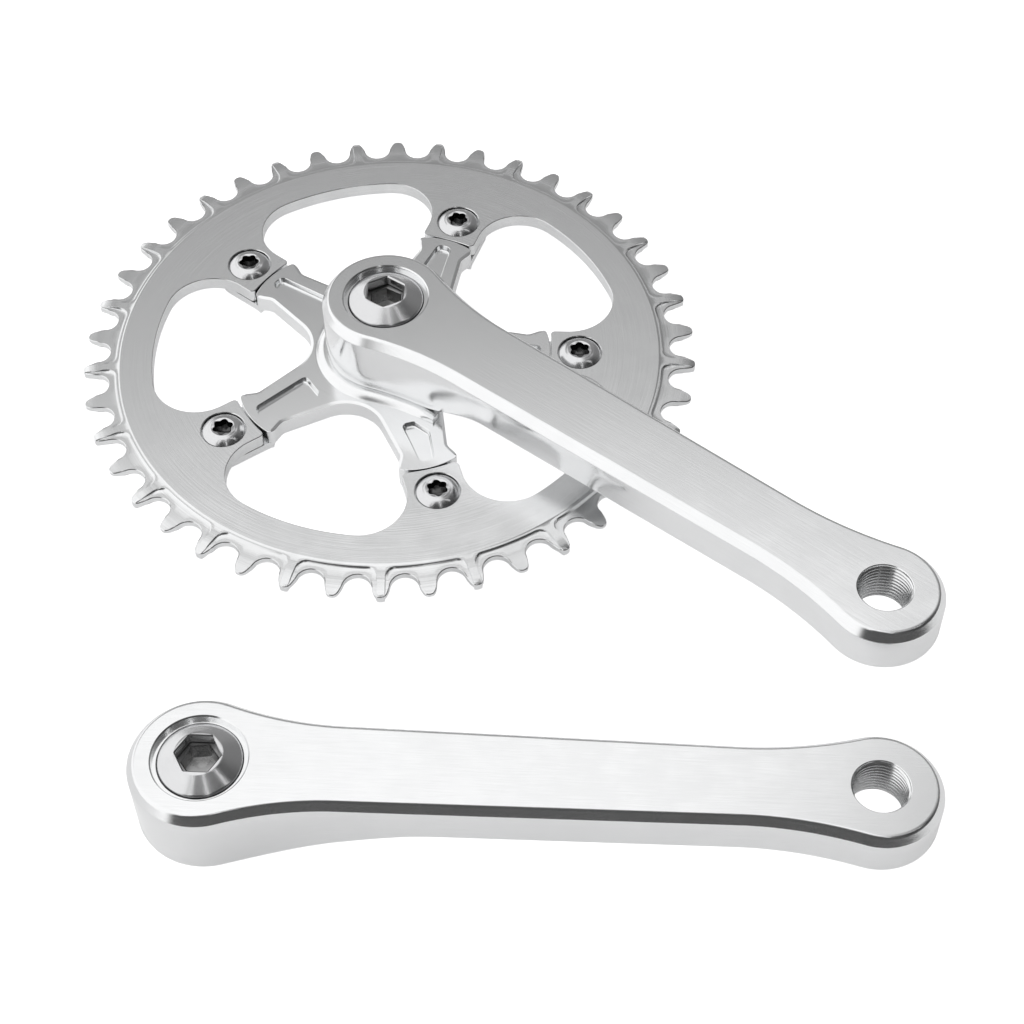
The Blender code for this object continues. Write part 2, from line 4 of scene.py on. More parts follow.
import bmesh
import bpy
import numpy as np
from mathutils import Euler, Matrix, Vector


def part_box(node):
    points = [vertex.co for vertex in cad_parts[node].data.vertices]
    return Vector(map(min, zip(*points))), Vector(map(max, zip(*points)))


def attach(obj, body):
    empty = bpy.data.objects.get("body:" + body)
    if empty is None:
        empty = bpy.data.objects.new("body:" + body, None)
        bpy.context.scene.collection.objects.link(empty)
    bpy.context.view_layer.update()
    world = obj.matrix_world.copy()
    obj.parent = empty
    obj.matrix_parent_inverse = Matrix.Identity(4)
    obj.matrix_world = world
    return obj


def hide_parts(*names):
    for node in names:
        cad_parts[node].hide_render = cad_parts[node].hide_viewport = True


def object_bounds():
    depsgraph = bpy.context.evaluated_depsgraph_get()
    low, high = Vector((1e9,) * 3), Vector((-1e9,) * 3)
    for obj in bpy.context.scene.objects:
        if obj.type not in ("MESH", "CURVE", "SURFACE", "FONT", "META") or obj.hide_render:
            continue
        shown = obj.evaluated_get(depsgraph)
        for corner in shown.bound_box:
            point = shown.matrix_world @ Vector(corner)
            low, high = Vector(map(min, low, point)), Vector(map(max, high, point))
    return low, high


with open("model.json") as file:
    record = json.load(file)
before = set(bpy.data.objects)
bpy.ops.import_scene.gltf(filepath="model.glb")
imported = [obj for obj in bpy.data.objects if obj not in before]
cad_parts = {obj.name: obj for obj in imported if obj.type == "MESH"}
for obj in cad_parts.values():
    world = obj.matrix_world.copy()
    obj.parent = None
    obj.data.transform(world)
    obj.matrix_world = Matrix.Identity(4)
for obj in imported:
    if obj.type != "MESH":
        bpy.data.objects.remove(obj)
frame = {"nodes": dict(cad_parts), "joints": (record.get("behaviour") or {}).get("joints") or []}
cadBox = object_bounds()
print("frame loaded:", len(frame["nodes"]), "nodes")

# Lengths are in millimetres, in each side's own frame: the crank axis on Z, the arm along +X,
# and heights from the ground
millimetre = 0.001


def jointPoint(name):
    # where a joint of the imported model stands, in millimetres
    joint = next(j for j in frame["joints"] if j["name"] == name)
    return np.array(joint["pos_m"][:2]) / millimetre


def topOf(node):
    # a node's highest point, in millimetres
    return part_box(node)[1].z / millimetre


sides = {
    "drive": {"axis": jointPoint("drive_bolt_turn"), "turn": -35.1, "face": topOf("drive_crank_arm"),
              "body": "drive_side", "boltBody": "drive_bolt"},
    "left": {"axis": jointPoint("left_bolt_turn"), "turn": 0.0, "face": topOf("left_crank_arm"),
             "body": "left_side", "boltBody": "left_bolt"},
}
ringFace = topOf("chainring")
spiderArms = 5
boltCircle = 55.0  # radius of the five bolts


def armTurn(k):
    # direction of a spider arm, in degrees
    return 36 + 72 * k


def boltPlace(k):
    # axis of a chainring bolt
    angle = math.radians(armTurn(k))
    return boltCircle * math.cos(angle), boltCircle * math.sin(angle)


def arc(centre, radius, start, end, count):
    # centre plus radius times (cos, sin) of evenly spaced angles, in degrees
    angles = np.radians(np.linspace(start, end, count))
    return np.column_stack([centre[0] + radius * np.cos(angles), centre[1] + radius * np.sin(angles)])


def turned(points, degrees):
    # points turned about the origin
    c, s = math.cos(math.radians(degrees)), math.sin(math.radians(degrees))
    return np.asarray(points) @ np.array([[c, s], [-s, c]])


def mirrored(points):
    # points reflected in the X axis, in reverse order
    return points[::-1] * np.array([1, -1])


def roundFive(half):
    # a whole outline from half a sector, mirrored and turned to the five arms, and a sector's length
    sector = np.concatenate([mirrored(half)[1:-1], half])
    return np.concatenate([turned(sector, armTurn(k)) for k in range(spiderArms)]), len(sector)


def outward(path):
    # unit normals of a closed anticlockwise path: the chord between the neighbours, a quarter turn clockwise
    chord = np.roll(path, -1, 0) - np.roll(path, 1, 0)
    chord /= np.linalg.norm(chord, axis=1)[:, None]
    return np.column_stack([chord[:, 1], -chord[:, 0]])


def distances(path):
    # length of an open path up to each of its points
    return np.concatenate([[0], np.cumsum(np.linalg.norm(np.diff(path, axis=0), axis=1))])


def readAt(path, along, wanted):
    # the points of a path at the wanted lengths
    return np.column_stack([np.interp(wanted, along, path[:, i]) for i in range(2)])


def smooth(low, high, value):
    # 0 below low, 1 above high, cubic between
    t = np.clip((value - low) / (high - low), 0, 1)
    return t * t * (3 - 2 * t)


def roundedLoop(corners, radii, steps):
    # a polygon whose corners are replaced by arcs that touch both sides; radii gives each corner its own
    corners, radii = np.asarray(corners, float), np.asarray(radii)
    before, after = np.roll(corners, 1, 0) - corners, np.roll(corners, -1, 0) - corners
    before /= np.linalg.norm(before, axis=1)[:, None]
    after /= np.linalg.norm(after, axis=1)[:, None]
    half = np.arccos(np.clip((before * after).sum(1), -1, 1)) / 2
    bisector = before + after
    bisector /= np.linalg.norm(bisector, axis=1)[:, None]
    centre = corners + bisector * (radii / np.sin(half))[:, None]
    first = corners + before * (radii / np.tan(half))[:, None] - centre
    last = corners + after * (radii / np.tan(half))[:, None] - centre
    t = np.linspace(0, 1, steps)[None, :, None]
    swing = (math.pi - 2 * half)[:, None, None]
    blend = (np.sin((1 - t) * swing) * first[:, None] + np.sin(t * swing) * last[:, None]) / np.sin(swing)
    return (centre[:, None] + blend).reshape(-1, 2)


def carry(path, profile, share=1.0):
    # a profile of (offset, height) carried along a closed path: path plus share times offset times the
    # outward normal. share is one number or one for each point of the path
    profile = np.asarray(profile, float)
    flat = path[None] + profile[:, 0, None, None] * (outward(path) * np.reshape(share, (-1, 1)))[None]
    return np.dstack([flat, np.broadcast_to(profile[:, 1, None], flat.shape[:2])])


def revolve(profile, count, start=0.0, centre=(0.0, 0.0)):
    # a profile of (radius, height) turned round Z: (r cos a, r sin a, z). A radius may be one number or
    # one for each angle
    angles = np.radians(start) + np.arange(count) * 2 * math.pi / count
    radius = np.stack([np.broadcast_to(np.asarray(r, float), count) for r, z in profile])
    height = np.stack([np.broadcast_to(np.asarray(z, float), count) for r, z in profile])
    return np.dstack([centre[0] + radius * np.cos(angles), centre[1] + radius * np.sin(angles), height])


def raised(profile, height):
    # a profile of (radius, height) moved up
    return [(r, z + height) for r, z in profile]


def polygonRadius(flats, sidesCount, count):
    # distance from the centre to the flats of a polygon, whose first corner is at the first angle
    share = 2 * math.pi / sidesCount
    return flats / 2 / np.cos(np.mod(np.arange(count) * 2 * math.pi / count, share) - share / 2)


def quarterRound(size, segments):
    # a quarter circle from a flat face down to its wall, as (offset from the wall, depth below the face)
    a = np.linspace(0, math.pi / 2, segments + 1)
    return np.column_stack([-size * (1 - np.sin(a)), -size * (1 - np.cos(a))])


def helixGrid(outer, depth, high, low, pitch, hand, columns, start=0.0, axis=(0.0, 0.0)):
    # thread: the height falls by one pitch a turn, and the radius follows a wave of the distance along
    # the axis that fades into the plain outer radius at both ends
    perTurn = 8
    turns = int(math.ceil((high - low) / pitch)) + 2
    phase = np.arange(-perTurn, turns * perTurn + 1)[:, None] / perTurn
    angle = np.linspace(0, 2 * math.pi, columns + 1)[None, :]
    height = high - pitch * (phase + hand * angle / (2 * math.pi))
    wave = np.abs(np.mod(phase, 1.0) - 0.5) * 2
    radius = outer - depth * (1 - np.clip(wave * 1.5 - 0.25, 0, 1))
    fade = smooth(0, pitch / 2, high - height) * smooth(0, pitch / 2, height - low)
    radius = outer + (radius - outer) * fade
    height = np.clip(height, low, high)
    angle = angle + math.radians(start)
    return np.dstack([axis[0] + radius * np.cos(angle), axis[1] + radius * np.sin(angle), height])


def joinGrids(grids):
    # points and quads of grids: each point is joined to its neighbours, and a grid's last column to its
    # first, unless the grid stands in a tuple
    points, faces, start = [], [], 0
    for grid in grids:
        wraps = not isinstance(grid, tuple)
        grid = grid if wraps else grid[0]
        rows, columns = grid.shape[:2]
        index = start + np.arange(rows * columns).reshape(rows, columns)
        if wraps:
            index = np.column_stack([index, index[:, 0]])
        quads = np.stack([index[:-1, :-1], index[:-1, 1:], index[1:, 1:], index[1:, :-1]], -1)
        faces.append(quads.reshape(-1, 4))
        points.append(grid.reshape(-1, 3))
        start += rows * columns
    return np.concatenate(points), np.concatenate(faces)


def makePiece(name, side, grids, flats, finish, body, replaced, centre=(0.0, 0.0),
              paintedShade=None, sharp=34):
    # the grids are welded to each other, and the open edges at each flat height are filled
    local, faces = joinGrids(grids)
    place = sides[side]
    flat = turned(local[:, :2], place["turn"]) + place["axis"]
    mesh = bpy.data.meshes.new(name)
    mesh.from_pydata(np.column_stack([flat, local[:, 2]]) * millimetre, [], faces.tolist())
    bm = bmesh.new()
    bm.from_mesh(mesh)
    bmesh.ops.remove_doubles(bm, verts=bm.verts, dist=2e-6)
    bmesh.ops.dissolve_degenerate(bm, edges=bm.edges, dist=1e-7)
    for height in flats:
        rim = [e for e in bm.edges if e.is_boundary
               and all(abs(v.co.z - height * millimetre) < 3e-6 for v in e.verts)]
        bmesh.ops.triangle_fill(bm, edges=rim, use_beauty=False)
    bmesh.ops.recalc_face_normals(bm, faces=bm.faces)
    openEdges = sum(not e.is_manifold for e in bm.edges)
    volume = bm.calc_volume(signed=True)
    bm.to_mesh(mesh)
    bm.free()
    mesh.shade_smooth()
    mesh.set_sharp_from_angle(angle=math.radians(sharp))
    # the finishes read each point's place in the piece's own frame, and how much painted shade it gets
    co = np.zeros(len(mesh.vertices) * 3, np.float32)
    mesh.vertices.foreach_get("co", co)
    co = co.reshape(-1, 3) / millimetre
    own = turned(co[:, :2] - place["axis"], -place["turn"]) - np.asarray(centre)
    own = np.column_stack([own, co[:, 2]])
    ownPlace = mesh.attributes.new("ownPlace", "FLOAT_VECTOR", "POINT")
    ownPlace.data.foreach_set("vector", own.astype(np.float32).ravel())
    shade = np.zeros(len(own)) if paintedShade is None else paintedShade(own)
    mesh.attributes.new("paintedShade", "FLOAT", "POINT").data.foreach_set("value", shade.astype(np.float32))
    mesh.materials.append(finish)
    piece = bpy.data.objects.new(name, mesh)
    bpy.context.scene.collection.objects.link(piece)
    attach(piece, body)
    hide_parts(*replaced)
    print(f"{name}: {len(mesh.polygons)} faces, {openEdges} open edges, {volume * 1e6:.2f} cm3")


def nodeGroup(name, inputs, outputs):
    # an empty shader group with its named sockets
    group = bpy.data.node_groups.new(name, "ShaderNodeTree")
    for label, kind, value in inputs:
        socket = group.interface.new_socket(label, in_out="INPUT", socket_type=kind)
        if value is not None:
            socket.default_value = value
    for label, kind in outputs:
        group.interface.new_socket(label, in_out="OUTPUT", socket_type=kind)
    return group, group.nodes.new("NodeGroupInput"), group.nodes.new("NodeGroupOutput")


def fillSockets(tree, node, values):
    # values and links for a node's inputs: i0, i1 and so on by number, others by name, with spaces
    # written as underscores
    for key, value in values.items():
        socket = node.inputs[int(key[1:]) if key[1:].isdigit() else key.replace("_", " ")]
        if isinstance(value, bpy.types.NodeSocket):
            tree.links.new(value, socket)
        else:
            socket.default_value = value
    return node


def addNode(tree, kind, operation=None, **values):
    # a node with its operation and its inputs
    node = tree.nodes.new(kind)
    if operation:
        node.operation = operation
    return fillSockets(tree, node, values)


def groupNode(tree, group, **values):
    # one use of a group, with its inputs
    node = tree.nodes.new("ShaderNodeGroup")
    node.node_tree = group
    return fillSockets(tree, node, values)


def mixColours(tree, share, a, b):
    node = tree.nodes.new("ShaderNodeMix")
    node.data_type = "RGBA"
    return fillSockets(tree, node, {"i0": share, "i6": a, "i7": b}).outputs[2]


def makeLineGroup():
    # fine parallel lines: noise read on coordinates that are stretched along X, spread to 0 to 1
    group, given, out = nodeGroup("fineLines", [
        ("Place", "NodeSocketVector", None), ("Lines per mm", "NodeSocketFloat", 6.0),
        ("Stretch", "NodeSocketFloat", 0.03)], [("Line", "NodeSocketFloat")])
    parts = addNode(group, "ShaderNodeSeparateXYZ", i0=given.outputs["Place"])
    along = addNode(group, "ShaderNodeMath", "MULTIPLY", i0=parts.outputs[0], i1=given.outputs["Stretch"])
    joined = addNode(group, "ShaderNodeCombineXYZ", i0=along.outputs[0], i1=parts.outputs[1],
                     i2=parts.outputs[2])
    noise = addNode(group, "ShaderNodeTexNoise", Vector=joined.outputs[0],
                    Scale=given.outputs["Lines per mm"], Detail=3.0, Roughness=0.65)
    spread = addNode(group, "ShaderNodeMapRange", i0=noise.outputs["Fac"], i1=0.3, i2=0.7)
    group.links.new(spread.outputs[0], out.inputs["Line"])
    return group


def makeRoundGroup():
    # the same place as (angle times 20, radius, height), for lines that run round an axis
    group, given, out = nodeGroup("roundPlace", [("Place", "NodeSocketVector", None)],
                                  [("Round", "NodeSocketVector")])
    parts = addNode(group, "ShaderNodeSeparateXYZ", i0=given.outputs["Place"])
    angle = addNode(group, "ShaderNodeMath", "ARCTAN2", i0=parts.outputs[1], i1=parts.outputs[0])
    flat = addNode(group, "ShaderNodeCombineXYZ", i0=parts.outputs[0], i1=parts.outputs[1])
    radius = addNode(group, "ShaderNodeVectorMath", "LENGTH", i0=flat.outputs[0])
    wide = addNode(group, "ShaderNodeMath", "MULTIPLY", i0=angle.outputs[0], i1=20.0)
    rounds = addNode(group, "ShaderNodeCombineXYZ", i0=wide.outputs[0], i1=radius.outputs["Value"],
                     i2=parts.outputs[2])
    group.links.new(rounds.outputs[0], out.inputs["Round"])
    return group


def makeSmudgeGroup():
    # soft patches left by handling: a wide and a finer noise, multiplied and brought back to about 1
    group, given, out = nodeGroup("handlingMarks", [
        ("Place", "NodeSocketVector", None), ("Size in mm", "NodeSocketFloat", 60.0)],
        [("Mark", "NodeSocketFloat")])
    place = given.outputs["Place"]
    scaled = addNode(group, "ShaderNodeMath", "DIVIDE", i0=1.0, i1=given.outputs["Size in mm"])
    wide = addNode(group, "ShaderNodeTexNoise", Vector=place, Scale=scaled.outputs[0], Detail=2.0)
    finer = addNode(group, "ShaderNodeMath", "MULTIPLY", i0=scaled.outputs[0], i1=7.0)
    small = addNode(group, "ShaderNodeTexNoise", Vector=place, Scale=finer.outputs[0], Detail=4.0)
    both = addNode(group, "ShaderNodeMath", "MULTIPLY", i0=wide.outputs["Fac"], i1=small.outputs["Fac"])
    mark = addNode(group, "ShaderNodeMath", "MULTIPLY", i0=both.outputs[0], i1=4.0)
    group.links.new(mark.outputs[0], out.inputs["Mark"])
    return group


lineGroup, roundGroup, smudgeGroup = makeLineGroup(), makeRoundGroup(), makeSmudgeGroup()

# each roughness runs from the lowest to the highest that the lines and marks bring about
# the darkest colour of each finish is painted shade, laid into sockets, thread valleys and the cap's hollow
finishes = {
    "polishedAluminium": {
        "colour": (0.94, 0.945, 0.95), "dull": (0.88, 0.885, 0.89), "paintedShade": (0.3, 0.3, 0.3),
        "faceRoughness": (0.14, 0.2), "wallRoughness": (0.12, 0.18),
        "lines": "along", "linesPerMm": 3.0, "bump": 0.14},
    "brushedAluminium": {
        "colour": (0.93, 0.935, 0.94), "dull": (0.79, 0.795, 0.80), "paintedShade": (0.3, 0.3, 0.3),
        "faceRoughness": (0.19, 0.27), "wallRoughness": (0.12, 0.22),
        "lines": "round", "linesPerMm": 2.6, "bump": 0.45},
    "turnedChrome": {
        "colour": (0.80, 0.805, 0.81), "dull": (0.70, 0.70, 0.71), "paintedShade": (0.1, 0.1, 0.1),
        "faceRoughness": (0.12, 0.2), "wallRoughness": (0.12, 0.2),
        "lines": "round", "linesPerMm": 9.0, "bump": 0.1},
    "platedSteel": {
        "colour": (0.66, 0.66, 0.66), "dull": (0.5, 0.5, 0.5), "paintedShade": (0.06, 0.06, 0.06),
        "faceRoughness": (0.22, 0.34), "wallRoughness": (0.2, 0.32),
        "lines": "round", "linesPerMm": 5.0, "bump": 0.2},
}
lineDepth = 0.00002  # of a bump of 1, in metres


def makeFinish(name, look):
    # a bare metal: brushed lines and handling marks vary its colour and roughness, which is another on
    # flat tops than on walls, and painted shade darkens its hollows
    material = bpy.data.materials.new(name)
    material.use_nodes = True
    tree = material.node_tree
    shader = tree.nodes["Principled BSDF"]
    shader.inputs["Metallic"].default_value = 1.0
    place = addNode(tree, "ShaderNodeAttribute")
    place.attribute_name = "ownPlace"
    pattern = place.outputs["Vector"]
    if look["lines"] == "round":
        pattern = groupNode(tree, roundGroup, Place=pattern).outputs["Round"]
    lines = groupNode(tree, lineGroup, Place=pattern, Lines_per_mm=look["linesPerMm"])
    marks = groupNode(tree, smudgeGroup, Place=place.outputs["Vector"])
    both = addNode(tree, "ShaderNodeMath", "ADD", i0=lines.outputs["Line"], i1=marks.outputs["Mark"])
    mixed = addNode(tree, "ShaderNodeMath", "MULTIPLY", i0=both.outputs[0], i1=0.5)
    mixed.use_clamp = True

    facing = addNode(tree, "ShaderNodeTexCoord")
    normal = addNode(tree, "ShaderNodeSeparateXYZ", i0=facing.outputs["Normal"])
    flat = addNode(tree, "ShaderNodeMapRange", i0=normal.outputs[2], i1=0.97, i2=0.995)
    faceLow, faceHigh = look["faceRoughness"]
    wallLow, wallHigh = look["wallRoughness"]
    face = addNode(tree, "ShaderNodeMapRange", i0=mixed.outputs[0], i3=faceLow, i4=faceHigh)
    wall = addNode(tree, "ShaderNodeMapRange", i0=mixed.outputs[0], i3=wallLow, i4=wallHigh)
    rough = addNode(tree, "ShaderNodeMix", i0=flat.outputs[0], i2=wall.outputs[0], i3=face.outputs[0])
    tree.links.new(rough.outputs[0], shader.inputs["Roughness"])

    colour = mixColours(tree, mixed.outputs[0], (*look["colour"], 1), (*look["dull"], 1))
    # painted shade: a per-point attribute mixes the colour toward the darkest one in hollows
    paintedShade = addNode(tree, "ShaderNodeAttribute")
    paintedShade.attribute_name = "paintedShade"
    shadedColour = mixColours(tree, paintedShade.outputs["Fac"], colour, (*look["paintedShade"], 1))
    tree.links.new(shadedColour, shader.inputs["Base Color"])
    bump = addNode(tree, "ShaderNodeBump", Strength=look["bump"], Distance=lineDepth,
                   Height=lines.outputs["Line"])
    tree.links.new(bump.outputs[0], shader.inputs["Normal"])
    return material


polish, satin, chrome, steel = [makeFinish(name, look) for name, look in finishes.items()]
print("finishes made")

# The bevel is (offset from the wall, height below the face). A sweep is the stretch along X over which
# the arm's back rises from its boss to the shank
armShape = {
    "length": 165.0, "headRadius": 18.1, "eyeRadius": 15.6, "shankHalfWidths": (12.2, 11.1),
    "headFillet": 90.0, "eyeFillet": 110.0, "shankThickness": 13.5,
    "bevel": ((-2.5, 0), (-2.15, 0), (-1.95, -0.05), (-1.75, -0.16), (-1.55, -0.34), (-1.38, -0.56),
              (-1.3, -0.68), (-0.75, -1.48), (-0.2, -2.28), (-0.12, -2.4), (-0.04, -2.56), (0, -2.75)),
    "backEdge": 1.0, "sweeps": {"left": (8.0, 58.0), "drive": (22.0, 44.0)}, "pointSpacing": 1.3,
    "recessRadius": 11.9, "recessLip": 0.35, "recessDepth": 1.6, "boreRadius": 11.0, "boreEntry": 0.2,
    "seatDepth": 11.0, "socketSide": 12.6, "socketTaper": 2.0, "socketCorner": 1.2, "socketEdge": 0.4,
    "pedalRadius": 7.15, "pedalMouth": 0.2, "pedalThreadDepth": 0.5, "threadPitch": 1.27,
    "paintedThreadShade": 0.85, "spindleCollar": 15.0, "flangeRadius": 17.2, "flangeRise": 1.4,
}


def armHalfOutline(a, knots, grow=0.0):
    # the upper half from the pedal eye to the head: two circles joined to a tapering shank by wide
    # fillets, with points at the given places along X
    wide, narrow = a["shankHalfWidths"]
    head, eye, length = a["headRadius"], a["eyeRadius"], a["length"]
    headFillet, eyeFillet = a["headFillet"], a["eyeFillet"]
    headReach = math.sqrt((head + headFillet) ** 2 - (wide + headFillet) ** 2)
    eyeReach = math.sqrt((eye + eyeFillet) ** 2 - (narrow + eyeFillet) ** 2)
    headAngle = math.degrees(math.atan2(wide + headFillet, headReach))
    eyeAngle = math.degrees(math.atan2(narrow + eyeFillet, -eyeReach))
    path = np.concatenate([
        arc((length, 0), eye + grow, 0, eyeAngle, 200),
        arc((length - eyeReach, narrow + eyeFillet), eyeFillet - grow, eyeAngle + 180, 270, 200)[1:],
        arc((headReach, wide + headFillet), headFillet - grow, 270, headAngle + 180, 200),
        arc((0, 0), head + grow, headAngle, 180, 200)[1:]])
    along = distances(path)
    cuts = np.concatenate([[0], np.interp([-k for k in knots], -path[:, 0], along), [along[-1]]])
    wanted = [np.linspace(low, high, max(3, int((high - low) / a["pointSpacing"])), endpoint=False)
              for low, high in zip(cuts[:-1], cuts[1:])]
    return readAt(path, along, np.concatenate(wanted + [[along[-1]]]))


def armGrids(a, face, back, sweep):
    # the arm's outer skin and its strip behind the shank; the back's height is a cubic blend along X
    half = armHalfOutline(a, sweep[::-1])
    path = np.concatenate([half, mirrored(half)[1:-1]])
    shankBack = face - a["shankThickness"]

    def backAt(x):
        return back + (shankBack - back) * smooth(*sweep, x)

    upper = carry(path, np.array(a["bevel"]) + [0, face])
    edge = quarterRound(a["backEdge"], 5)[::-1]
    lower = carry(path, np.vstack([edge * [1, -1], [[-a["backEdge"] - 0.3, 0.0]]]))
    lower[..., 2] += backAt(lower[..., 0])
    middle = upper[-1] + (lower[0] - upper[-1]) * np.array([0.33, 0.67])[:, None, None]
    skin = np.concatenate([upper, middle, lower])
    # rows of the strip run along the arm, from one side's rim to the other's
    rim = lower[-1]
    first, last = [np.argmin(abs(half[:, 0] - x)) for x in sweep[::-1]]
    left, right = rim[first:last + 1], rim[(-np.arange(first, last + 1)) % len(path)]
    share = np.linspace(0, 1, 9)[:, None, None]
    strip = left + (right - left) * share
    strip[1:-1, :, 2] = backAt(strip[1:-1, :, 0])
    return [skin, (strip,)]


def boreGrid(a, face, back):
    # recess for the cap's rim, extractor bore, bolt seat and the tapered square socket, as one profile
    # round the axis
    count = 96
    lip, recess, bore, entry = a["recessLip"], a["recessRadius"], a["boreRadius"], a["boreEntry"]
    seat, floor, edge = face - a["seatDepth"], face - a["recessDepth"], a["socketEdge"]
    corner = (a["socketSide"] - a["socketCorner"] * 0.9) / math.sqrt(2)
    taper = 2 * math.tan(math.radians(a["socketTaper"]))

    def socket(height):
        side = a["socketSide"] + taper * (seat - height)
        return np.minimum(polygonRadius(side, 4, count), corner * side / a["socketSide"])

    profile = [(recess + lip, face), (recess, face - lip), (recess, floor), (bore - entry, floor),
               (bore - entry, floor - 0.8), (bore, floor - 1), (bore, seat), (socket(seat) + edge, seat),
               (socket(seat - edge), seat - edge), (socket(back + 0.5), back + 0.5),
               (socket(back) + 0.5, back)]
    return revolve(profile, count, 45)


def pedalGrids(a, face, hand):
    # countersunk threaded bore through the pedal eye
    centre, radius, mouth, columns = (a["length"], 0), a["pedalRadius"], a["pedalMouth"], 72
    back = face - a["shankThickness"]
    high, low = face - mouth, back + mouth
    thread = helixGrid(radius, a["pedalThreadDepth"], high, low, a["threadPitch"], hand, columns,
                       axis=centre)
    upper = revolve([(radius + mouth, face), (radius, high)], columns, centre=centre)
    lower = revolve([(radius, low), (radius + mouth, back)], columns, centre=centre)
    return [(thread,), upper, lower]


def makeArm(side, hand, a):
    face = sides[side]["face"]
    foot, flats, behind = 0.0, [face, 0.0, face - a["shankThickness"]], []
    if side == "drive":
        # this arm ends just above the spider, and a collar goes through it to a flange behind
        low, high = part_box("spider")
        foot, flangeTop = high.z / millimetre + 0.15, low.z / millimetre + a["flangeRise"]
        collar, flange = a["spindleCollar"], a["flangeRadius"]
        profile = [(collar, foot), (collar, flangeTop), (flange - 0.2, flangeTop),
                   (flange, flangeTop - 0.2), (flange, 0.4), (flange - 0.4, 0.0)]
        behind.append(revolve(profile, 96, 45))
        flats.insert(1, foot)
    grids = armGrids(a, face, foot, a["sweeps"][side]) + behind + [boreGrid(a, face, 0.0)]
    grids += pedalGrids(a, face, hand)
    valley = a["pedalRadius"] - 0.2

    def paintedThreadShade(own):
        # painted shade: dark lines in the valleys of the pedal thread
        radius = np.hypot(own[:, 0] - a["length"], own[:, 1])
        inValley = (radius > valley) & (radius < valley + 0.21) & (own[:, 2] < face - 0.6)
        return a["paintedThreadShade"] * inValley

    makePiece(f"{side}Arm", side, grids, flats, polish, sides[side]["body"], [f"{side}_crank_arm"],
              paintedShade=paintedThreadShade)


makeArm("left", -1, armShape)
makeArm("drive", 1, armShape)

# A tooth's flank is a list of half widths with their radii, from its tip down
ringShape = {
    "teeth": 42, "pitchRadius": 84.97, "rollerSeat": 3.95, "seatReach": 75, "thickness": 4.2,
    "flankWidths": (0, 0.4, 0.8, 1.15, 1.6, 1.95, 2.25, 2.45),
    "flankRadii": (88.35, 88.32, 88.2, 87.95, 87.3, 86.4, 85.4, 84.5),
    "lineRadius": 78.0, "lineWidth": 0.15, "lineDepth": 0.1, "pocketRadius": 78.7, "pocketDepth": 0.65,
    "backPocketDepth": 1.5, "ribHalfWidth": 1.1, "pocketCorner": 3.0, "edge": 0.2,
    "toothThinning": 0.35, "ribFall": 0.8, "windowRadius": 68.5, "windowFillet": 13.0,
    "tabHalfWidth": 8.1, "tabEnd": 46.9, "tabCorner": 1.3, "windowEdge": 0.15, "holeRadius": 5.2,
    "seatRadius": 6.3, "seatDepth": 2.1,
}


def toothBand(r):
    # the band outside the fine line: columns follow the tooth outline round, rows run outward over the
    # face, round the tooth's edge and back underneath. Every other tooth is thin, and a rib stands on
    # each of the others
    unrolled = 85.0  # radius at which widths are measured
    halfPitch = math.pi * unrolled / r["teeth"]
    half = r["ribHalfWidth"]
    widths = np.array([2.45, 2.25, 2.1, 1.95, 1.8, 1.6, 1.4, half + 0.15, half, 0.8, 0.4, 0])
    seat = np.linspace(0, math.radians(r["seatReach"]), 10)
    along = np.concatenate([r["rollerSeat"] * np.sin(seat), halfPitch - widths])
    outline = np.concatenate([r["pitchRadius"] - r["rollerSeat"] * np.cos(seat),
                              np.interp(widths, r["flankWidths"], r["flankRadii"])])
    # two teeth, then round all the pairs
    places = np.concatenate([(halfPitch - along)[::-1], halfPitch + along[1:],
                             (3 * halfPitch - along)[::-1][1:], 3 * halfPitch + along[1:-1]])
    radii = np.concatenate([outline[::-1], outline[1:], outline[::-1][1:], outline[1:-1]])
    pairs = r["teeth"] // 2
    starts = np.arange(pairs)[:, None] * 2 * math.pi / pairs
    angle = (places[None] / unrolled + starts).ravel() + math.pi / pairs
    outer = np.tile(radii, pairs)
    fromRib = np.tile(abs(places - 2 * halfPitch), pairs)
    rib = fromRib < half + 0.01
    corner = r["pocketCorner"]
    wallStart = r["pocketRadius"] + corner - np.sqrt(
        np.clip(corner ** 2 - np.clip(corner + half - fromRib, 0, corner) ** 2, 0, None))
    bevelStart = np.minimum(85.2, outer - 0.4)
    path = np.column_stack([outer * np.cos(angle), outer * np.sin(angle)])
    normals, edge, step, line = outward(path), r["edge"], r["lineDepth"], r["lineRadius"]

    def faceRows(depth):
        # rows of one face, from the fine line out to the rim: their radii, and how far each has come
        # down from the line's step to the pocket's floor
        toLine, wallEnd = line + r["lineWidth"], wallStart + 0.7
        radii = [line - 0.4, line, toLine, (toLine + wallStart) / 2, wallStart, wallStart + 0.15,
                 wallStart + 0.45, wallEnd, (wallEnd + bevelStart) / 2, bevelStart,
                 (bevelStart + outer - edge) / 2, outer - edge]
        fall = [0, 0, 0, 0, 0, 0.3, 0.85, 1, 1, 1, 1, 1]
        points = []
        for number, radius in enumerate(radii):
            radius = np.broadcast_to(radius, outer.shape)
            floor = depth + r["toothThinning"] * np.clip((radius - unrolled - 0.2) / 3.0, 0, 1)
            top = step + r["ribFall"] * np.clip((radius - unrolled + 1) / 4.2, 0, 1) ** 1.3
            low = np.where(rib & (number > 4), top, step + (floor - step) * fall[number])
            low = low * (number > 1)
            flat = np.column_stack([radius * np.cos(angle), radius * np.sin(angle)])
            points.append(np.column_stack([flat, low]))
        points[-1][:, :2] = path - normals * edge
        points.append(np.column_stack([path, np.where(rib, top, floor) + edge]))
        return np.stack(points)

    front, behind = faceRows(r["pocketDepth"]), faceRows(r["backPocketDepth"])[::-1]
    front[..., 2] = ringFace - front[..., 2]
    behind[..., 2] += ringFace - r["thickness"]
    return np.concatenate([front, behind])


